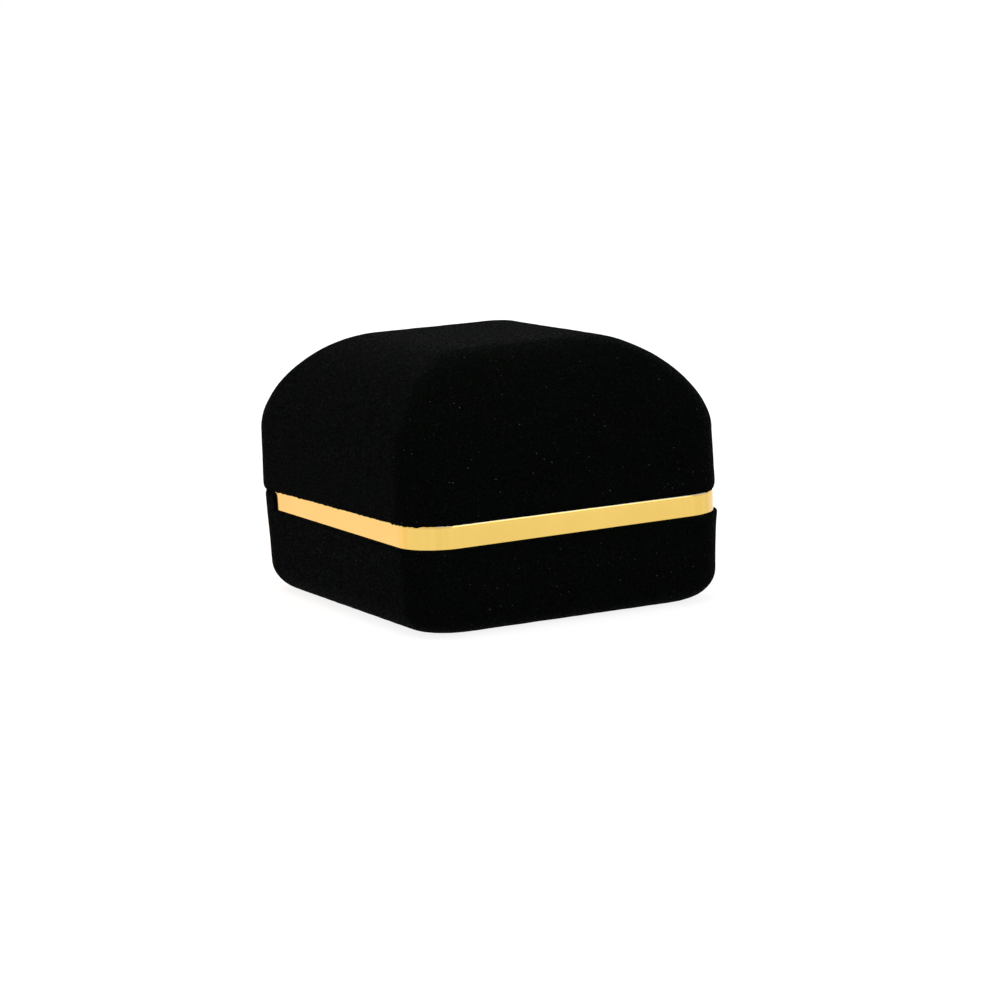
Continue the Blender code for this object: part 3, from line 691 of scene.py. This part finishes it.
leaf_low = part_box("hinge_leaf_base")[0]
plate_y = leaf_low.y + SHEET / 2
leaf = start_strip("base_leaf", LEAF_HALF, plate_y, axis.z - LEAF_REACH, SHEET)
draw_on(0, LEAF_REACH - KNUCKLE_MIDDLE - LEAF_BEND)
bend_on(plate_y + LEAF_BEND, axis.z - KNUCKLE_MIDDLE - LEAF_BEND, -math.pi / 2, 8)
draw_on(axis.y - plate_y - LEAF_BEND, 0)
bend_on(axis.y, axis.z, ROLL, 40)
face_outwards()
knuckle_room = LID_KNUCKLE_HALF + 0.2 * MM
cut_box(leaf, (-knuckle_room, plate_y - 2 * SHEET, axis.z - 2.2 * MM),
        (knuckle_room, axis.y + 2 * MM, axis.z + 2 * MM))
for x in (-RIVET_X, 0, RIVET_X):
    drill(leaf, x, plate_y, axis.z - RIVET_DROP, 0.7 * MM, 1 * MM)
soften_edges(leaf, 0.05 * MM)
finish_piece(leaf, "base", ["hinge_leaf_base"], brass)

pin_end = LEAF_HALF + 0.1 * MM
pin_outline = [(0.4 * MM, -0.35 * MM), (0.7 * MM, -0.3 * MM), (0.85 * MM, -0.15 * MM),
               (0.85 * MM, 0), (0.5 * MM, 0)]
pin_outline = [(radius, x - pin_end) for radius, x in pin_outline]
pin_outline += [(radius, -x) for radius, x in reversed(pin_outline)]
pin = turned_piece("headed_pin", pin_outline, axis)
finish_piece(pin, "base", ["hinge_pin"], brass)

spring_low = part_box("hinge_spring")[0]
strip = 0.25 * MM
strip_bend = 0.5 * MM
strip_y = spring_low.y + strip / 2
touch_z = axis.z - KNUCKLE_BORE - SHEET - 0.12 * MM - strip / 2
bend_z = touch_z - 0.2 * MM - strip_bend
spring = start_strip("snap_spring", 3.5 * MM, strip_y, spring_low.z, strip)
draw_on(0, bend_z - spring_low.z)
bend_on(strip_y + strip_bend, bend_z, -math.pi / 2, 8)
draw_on(axis.y - 1.2 * MM - strip_y - strip_bend, 0.08 * MM)
draw_on(0.9 * MM, 0.12 * MM)
draw_on(0.6 * MM, -0.05 * MM)
face_outwards()
drill(spring, 0, strip_y, axis.z - RIVET_DROP, 0.7 * MM, 1 * MM)
soften_edges(spring, 0.04 * MM)
finish_piece(spring, "base", ["hinge_spring"], spring_finish)

leaf_face = plate_y - SHEET / 2 - 0.05 * MM
for name, replaced, x, face_y in (
    ("leaf_rivet_left", "base_rivet_left", -RIVET_X, leaf_face),
    ("leaf_rivet_right", "base_rivet_right", RIVET_X, leaf_face),
    ("snap_spring_rivet", "spring_rivet", 0, strip_y - strip / 2 - 0.05 * MM),
):
    rivet = dome_rivet(name, x, face_y, axis.z - RIVET_DROP)
    finish_piece(rivet, "base", [replaced], brass)


# ---- Ring pad ---------------------------------------------------------------------------------
# Two foam rolls under one black velvet stand on a card, and pinch the ring in the slit between
# them. The velvet is glued underneath, so the rolls swell between their edges.

ROLL_HALF_X = 22.2 * MM
PAD_FRONT, PAD_BACK = case_y - 25.4 * MM, case_y + 24.6 * MM
PAD_BOTTOM, PAD_TOP = 3.2 * MM, 12.5 * MM
SLIT = 0.3 * MM

# Cotton velvet: dense upright pile, deep black where the pile is seen end on and brushed in soft
# patches. The patches are painted grey in its colour, a painted sheen of pile that leans there.
velvet, tree, output = new_material("black_cotton_velvet")
coords = add_node(tree, "ShaderNodeTexCoord")
place = coords.outputs["Object"]
crush_and_sheen = add_node(tree, "ShaderNodeTexNoise", {"Scale": 1 / (7 * MM), "Detail": 2, "Distortion": 0.8},
                 {"Vector": place})
pile = add_node(tree, "ShaderNodeTexNoise", {"Scale": 1 / (0.2 * MM), "Detail": 3, "Roughness": 0.65},
                {"Vector": place})
# Painted sheen: the brushed patches are painted grey, as the light off leaning pile.
shade = add_node(tree, "ShaderNodeMix", {"data_type": "RGBA", 6: linear("#050505"), 7: linear("#121211")},
                 {0: crush_and_sheen.outputs["Fac"]})
grain = add_node(tree, "ShaderNodeMix", {"data_type": "RGBA", "blend_type": "MULTIPLY", 0: 0.6},
                 {6: shade.outputs[2], 7: pile.outputs["Color"]})
relief = add_node(tree, "ShaderNodeBump", {"Strength": 0.8, "Distance": 0.1 * MM},
                  {"Height": pile.outputs["Fac"]})
shader = add_node(
    tree, "ShaderNodeBsdfPrincipled",
    {"Roughness": 1.0, "Specular IOR Level": 0.05, "Sheen Weight": 0.12, "Sheen Roughness": 0.3,
     "Sheen Tint": linear("#dddddd")},
    {"Base Color": grain.outputs[2], "Normal": relief.outputs["Normal"]})
tree.links.new(shader.outputs["BSDF"], output.inputs["Surface"])

# Grey board: pressed paper pulp with flecks of fibre.
board, tree, output = new_material("grey_pulp_board")
coords = add_node(tree, "ShaderNodeTexCoord")
flecks = add_node(tree, "ShaderNodeTexNoise", {"Scale": 1 / (0.8 * MM), "Detail": 4},
                  {"Vector": coords.outputs["Object"]})
shade = add_node(tree, "ShaderNodeMix", {"data_type": "RGBA", 6: linear("#8f8b83"), 7: linear("#b3aea4")},
                 {0: flecks.outputs["Fac"]})
tooth = add_node(tree, "ShaderNodeBump", {"Strength": 0.3, "Distance": 0.05 * MM},
                 {"Height": flecks.outputs["Fac"]})
shader = add_node(tree, "ShaderNodeBsdfPrincipled", {"Roughness": 0.9},
                  {"Base Color": shade.outputs[2], "Normal": tooth.outputs["Normal"]})
tree.links.new(shader.outputs["BSDF"], output.inputs["Surface"])


def paint_node(name, material):
    """Gives a part that keeps its own shape its finish."""
    part = frame["nodes"][name]
    part.data.materials.clear()
    part.data.materials.append(material)


def rounded_block(name, half_x, half_y, corner, middle_y, levels):
    """A rounded block from (draw in, z) levels, coarse enough for cloth, in object mode."""
    first_in, first_z = levels[0]
    start = (half_x - first_in, half_y - first_in, corner, first_z)
    piece = start_outline(name, *start, middle_y=middle_y, spacing=0.9 * MM)
    travel(start, [(half_x - d, half_y - d, max(corner - d, 0.5 * MM), z) for d, z in levels[1:]], middle_y)
    turn_to_open_end()
    face_outwards()
    return piece


def swell(piece, voxel, cap, held, pressure=4.0, frames=20, enlarge=10):
    """Swells a pad as stuffed cloth, worked at ten times its size, with its held points fixed."""
    remesh = piece.modifiers.new("remesh", "REMESH")
    remesh.mode = "VOXEL"
    remesh.voxel_size = voxel
    apply_modifiers(piece)
    piece.data.transform(Matrix.Scale(enlarge, 4))
    group = piece.vertex_groups.new(name="held")
    for point in piece.data.vertices:
        group.add([point.index], 1.0 if held(point.co / enlarge) else 0.0, "REPLACE")
    rest = [point.co.copy() for point in piece.data.vertices]
    cloth = piece.modifiers.new("cloth", "CLOTH")
    cloth.settings.quality = 5
    cloth.settings.mass = 0.3
    cloth.settings.tension_stiffness = 12
    cloth.settings.compression_stiffness = 12
    cloth.settings.shear_stiffness = 5
    cloth.settings.bending_stiffness = 0.4
    cloth.settings.use_pressure = True
    cloth.settings.uniform_pressure_force = pressure
    cloth.settings.effector_weights.gravity = 0
    cloth.settings.vertex_group_mass = "held"
    cloth.settings.pin_stiffness = 1
    for step in range(1, frames + 1):
        bpy.context.scene.frame_set(step)
    apply_modifiers(piece)
    bpy.context.scene.frame_set(1)
    for point, start in zip(piece.data.vertices, rest):
        move = point.co - start
        if move.length > cap * enlarge:
            point.co = start + move.normalized() * cap * enlarge
    piece.data.transform(Matrix.Scale(1 / enlarge, 4))


def smooth_pad(piece, times=3):
    """Relaxes a swollen pad and gives it one finer level."""
    relax = piece.modifiers.new("relax", "SMOOTH")
    relax.iterations = times
    relax.factor = 0.5
    finer = piece.modifiers.new("finer", "SUBSURF")
    finer.levels = 1
    finer.render_levels = 1
    apply_modifiers(piece)


slit_y = (PAD_FRONT + PAD_BACK) / 2
for name, foam, near, far in (
    ("velvet_roll_front", "pad_foam_front", PAD_FRONT, slit_y - SLIT / 2),
    ("velvet_roll_rear", "pad_foam_rear", slit_y + SLIT / 2, PAD_BACK),
):
    side_in, crown_wide, crown_tall = 0.3 * MM, 3.4 * MM, 3 * MM
    levels = [(side_in, PAD_BOTTOM), (side_in, PAD_TOP - 4 * MM)]
    for turn in even_steps(0, math.pi / 2, 6):
        levels.append((side_in + crown_wide * (1 - math.cos(turn)),
                       PAD_TOP - 0.9 * MM - crown_tall * (1 - math.sin(turn))))
    roll = rounded_block(name, ROLL_HALF_X, (far - near) / 2, 3.4 * MM, (near + far) / 2, levels)
    swell(roll, 0.75 * MM, 1.0 * MM, lambda place: place.z < PAD_BOTTOM + 0.8 * MM)
    smooth_pad(roll)
    ruffle(roll, f"{name}_pile", 3 * MM, 0.12 * MM)
    finish_piece(roll, "base", ["pad_velvet", foam], velvet, 60)
paint_node("pad_board", board)


# ---- Lid shell --------------------------------------------------------------------------------
# The lid is moulded like the base and flocked the same. Its sides rise straight, then run in on a
# soft curve to a small flat top, and its rim hangs a thin lip beside the band's ledge.

lid_y = case_y + 0.36 * MM        # the lid sits a little back
lid_rim = 15.5 * MM
lid_tall = 22.9 * MM
lid_straight = 8.64 * MM
lid_spread = 14.3 * MM
lid_curve = 1.715                 # 1 would be a chamfer, 2 an ellipse
lid_top_corner = 2.3 * MM
lid_overhang = 0.15 * MM
lid_rest = math.radians(-0.7)     # the flocked rims hold the front of the lid up
lip, rebate = 0.35 * MM, 0.5 * MM
edge_wide, edge_tall = 0.3 * MM, 1.2 * MM


def lid_outline(height, under=0.0, extra=0.0):
    """The lid's outline at a height above its rim, on a surface that lies under its outer face."""
    rise = min(max((height - lid_straight) / (lid_tall - under - lid_straight), 0), 1)
    share = 1 - (1 - rise ** lid_curve) ** (1 / lid_curve)
    inset = under + extra + 0.017 * height + (lid_spread - under) * share - lid_overhang
    radius = CORNER - under + (lid_top_corner - CORNER) * math.sqrt(share)
    return WIDTH / 2 - inset, DEPTH / 2 - inset, max(radius, 0.8 * MM), lid_rim + height


def lid_heights(under, steps):
    """Heights up the curved side, spaced evenly round its curve."""
    rise = lid_tall - under - lid_straight
    turns = even_steps(0, math.pi / 2, steps)
    return [lid_straight + rise * min(math.sin(turn), 1) ** (2 / lid_curve) for turn in turns]


def lean_lid(piece):
    """Turns a lid piece's mesh about the hinge, to where the shut lid rests."""
    turn = Matrix.Rotation(lid_rest, 4, "X")
    piece.data.transform(Matrix.Translation(axis) @ turn @ Matrix.Translation(-axis))


lid_start = lid_outline(edge_tall)
lid = start_outline("flocked_lid", *lid_start, middle_y=lid_y)
up = [lid_outline(height) for height in even_steps(edge_tall, lid_straight, 12)]
up += [lid_outline(height) for height in lid_heights(0, 30)]
travel(lid_start, up, lid_y)
close_middle(lid_y)
turn_to_open_end()
inside = []
for turn in even_steps(0, math.pi / 2, 7):
    inside.append(lid_outline(edge_tall * (1 - math.sin(turn)), extra=edge_wide * (1 - math.cos(turn))))
inside.append(lid_outline(0, under=lip))
inside.append(lid_outline(rebate, under=lip))
inside.append(lid_outline(rebate, under=WALL))
inside += [lid_outline(height, under=WALL) for height in even_steps(rebate, lid_straight, 8)]
inside += [lid_outline(height, under=WALL) for height in lid_heights(WALL, 14)]
travel(lid_start, inside, lid_y)
close_middle(lid_y)
face_outwards()
cut_box(lid, (-hinge_gap, axis.y - 3.75 * MM, axis.z - 5 * MM),
        (hinge_gap, axis.y + 5 * MM, axis.z + 1.3 * MM))


def near_rim(place):
    """1 on the lid's rim, fading to 0 up its side."""
    return max(1 - (place.z - lid_rim) / (1.6 * MM), 0)


def near_corner(place):
    """0 where the lid's corners begin, 1 round their middles."""
    return (abs(place.x * place.y) / MM ** 2 - 430) / 90


lip_dip = 0.1 * MM                # the lip hangs this much lower at the left
for point in lid.data.vertices:
    point.co.z -= lip_dip * (0.5 - point.co.x / WIDTH) * min(near_rim(point.co), 1)
ruffle(lid, "flocked_lip", 0.55 * MM, 0.42 * MM, near_rim, "Z")
ruffle(lid, "flocked_corner", 0.8 * MM, 0.9 * MM, lambda place: near_rim(place) * near_corner(place), "Z")
ruffle(lid, "flocked_side", 2.6 * MM, 0.09 * MM)
lean_lid(lid)
finish_piece(lid, "lid", ["lid_shell"], flock)


# ---- Hinge: lid leaf and rivets ----------------------------------------------------------------
# The same stamping turned over, with only its middle knuckle left, riveted inside the lid's back
# wall.

lid_wall_y = lid_y + lid_outline(LEAF_REACH, under=WALL)[1]
lid_plate_y = lid_wall_y - 0.3 * MM - SHEET / 2
leaf = start_strip("lid_leaf", LEAF_HALF, lid_plate_y, axis.z + LEAF_REACH, SHEET)
draw_on(0, KNUCKLE_MIDDLE + LEAF_BEND - LEAF_REACH)
bend_on(lid_plate_y + LEAF_BEND, axis.z + KNUCKLE_MIDDLE + LEAF_BEND, math.pi / 2, 8)
draw_on(axis.y - lid_plate_y - LEAF_BEND, 0)
bend_on(axis.y, axis.z, -ROLL, 40)
face_outwards()
for side in (-1, 1):
    ends = sorted((side * LID_KNUCKLE_HALF, side * (LEAF_HALF + 1 * MM)))
    cut_box(leaf, (ends[0], lid_plate_y - 2 * SHEET, axis.z - 2 * MM),
            (ends[1], axis.y + 2 * MM, axis.z + 1.6 * MM))
    drill(leaf, side * RIVET_X, lid_plate_y, axis.z + RIVET_DROP, 0.7 * MM, 1 * MM)
soften_edges(leaf, 0.05 * MM)
lean_lid(leaf)
finish_piece(leaf, "lid", ["hinge_leaf_lid"], brass)
for name, replaced, side in (
    ("lid_leaf_rivet_left", "lid_rivet_left", -1),
    ("lid_leaf_rivet_right", "lid_rivet_right", 1),
):
    rivet = dome_rivet(name, side * RIVET_X, lid_plate_y - SHEET / 2 - 0.05 * MM, axis.z + RIVET_DROP)
    lean_lid(rivet)
    finish_piece(rivet, "lid", [replaced], brass)


# ---- Lid lining -------------------------------------------------------------------------------
# A strip of card faced with ivory satin, glued round the inside of the lid's wall and open at the
# back round the hinge's leaf.

# Ivory acetate satin: long floats of bright yarn. It shines softly and shows its weave close up, so
# the yarns are drawn about three times as coarse as real ones.
yarn_spacing = 0.404 * MM
diagonal_repeat = 2 * math.pi / (10 * math.sqrt(3))     # of a diagonal wave at scale 1
satin, tree, output = new_material("ivory_acetate_satin")
coords = add_node(tree, "ShaderNodeTexCoord")
place = coords.outputs["Object"]
weft = add_node(tree, "ShaderNodeTexWave",
                {"wave_type": "BANDS", "bands_direction": "DIAGONAL", "Scale": diagonal_repeat / yarn_spacing,
                 "Distortion": 0.4},
                {"Vector": place})
slub = add_node(tree, "ShaderNodeTexNoise", {"Scale": 1 / (1.5 * MM), "Detail": 3}, {"Vector": place})
tone = add_node(tree, "ShaderNodeMix", {"data_type": "RGBA", 6: linear("#ebe2cd"), 7: linear("#f1e9d8")},
                {0: slub.outputs["Fac"]})
gloss = add_node(tree, "ShaderNodeMapRange", {"To Min": 0.24, "To Max": 0.34}, {"Value": slub.outputs["Fac"]})
weave = add_node(tree, "ShaderNodeBump", {"Strength": 0.1, "Distance": 0.02 * MM},
                 {"Height": weft.outputs["Fac"]})
shader = add_node(
    tree, "ShaderNodeBsdfPrincipled",
    {"Specular IOR Level": 0.8, "Sheen Weight": 0.1, "Sheen Roughness": 0.4},
    {"Base Color": tone.outputs[2], "Roughness": gloss.outputs["Result"], "Normal": weave.outputs["Normal"]})
tree.links.new(shader.outputs["BSDF"], output.inputs["Surface"])

lining_out = WALL + 0.3 * MM
lining_in = lining_out + 0.5 * MM
lining_foot, lining_head = 2.6 * MM, 15.2 * MM
lining_heights = [lining_foot] + even_steps(lining_foot, lining_head, 18)
lining_start = lid_outline(lining_heights[0], under=lining_out)
lining = start_outline("satin_lining", *lining_start, middle_y=lid_y, spacing=0.6 * MM)
travel(lining_start, [lid_outline(height, under=lining_out) for height in lining_heights[1:]], lid_y)
bpy.ops.mesh.delete(type="FACE")
select_edges(lining, lambda a, b: max(a.z, b.z) < lining_start[3] + 1e-6)
bpy.ops.mesh.edge_face_add()
bpy.ops.mesh.select_mode(type="FACE")
travel(lining_start, [lid_outline(height, under=lining_in) for height in lining_heights], lid_y)
bpy.ops.mesh.delete(type="FACE")
bpy.ops.mesh.select_mode(type="EDGE")
bpy.ops.mesh.select_all(action="DESELECT")
bpy.ops.mesh.select_non_manifold()
bpy.ops.mesh.bridge_edge_loops()
face_outwards()
cut_box(lining, (-hinge_gap, axis.y - 6 * MM, axis.z),
        (hinge_gap, axis.y + 6 * MM, axis.z + LEAF_REACH + 0.6 * MM))
ruffle(lining, "stretched_satin", 3 * MM, 0.08 * MM)
lean_lid(lining)
finish_piece(lining, "lid", ["lid_lining"], satin, 50)


# ---- Lid pad ----------------------------------------------------------------------------------
# A puffed cushion of ivory satin over foam. Its satin is gathered over the edge of a card, which is
# glued inside the top of the lid.

CARD_X, CARD_Y = 16.2 * MM, 19.4 * MM
card_z = lid_rim + 18.2 * MM
pad_low = lid_rim + 13.2 * MM
bulge = 4.6 * MM                  # past the card, out to where the lining starts
levels = [(0, card_z - 0.3 * MM), (-0.6 * bulge, card_z - 1.0 * MM), (-bulge, card_z - 2.2 * MM)]
for turn in even_steps(0, math.pi / 2, 6):
    levels.append((4 * MM * (1 - math.cos(turn)) - bulge,
                   pad_low + 0.8 * MM + 1.8 * MM * (1 - math.sin(turn))))
cushion = rounded_block("satin_cushion", CARD_X, CARD_Y, 3 * MM, lid_y, levels)
swell(cushion, 0.75 * MM, 1.0 * MM, lambda place: place.z > card_z - 0.9 * MM)
smooth_pad(cushion)
gather_deep = 0.16 * MM
wide_gather, fine_gather = 0.55 * MM, 0.31 * MM
for point in cushion.data.vertices:
    out = Vector((point.co.x / (CARD_X + bulge), (point.co.y - lid_y) / (CARD_Y + bulge)))
    reach = max(abs(out.x), abs(out.y))
    run = point.co.y if abs(out.x) > abs(out.y) else point.co.x
    gather = math.sin(run / wide_gather) * 0.6 + math.sin(run / fine_gather + 1.3) * 0.4
    fade = min(max((reach - 0.62) / 0.38, 0), 1) ** 2
    point.co.z += gather_deep * gather * fade
ruffle(cushion, "soft_folds", 9 * MM, 0.7 * MM)
ruffle(cushion, "puckers", 2.5 * MM, 0.12 * MM)
lean_lid(cushion)
finish_piece(cushion, "lid", ["lid_satin", "lid_foam"], satin, 60)
paint_node("lid_card", board)
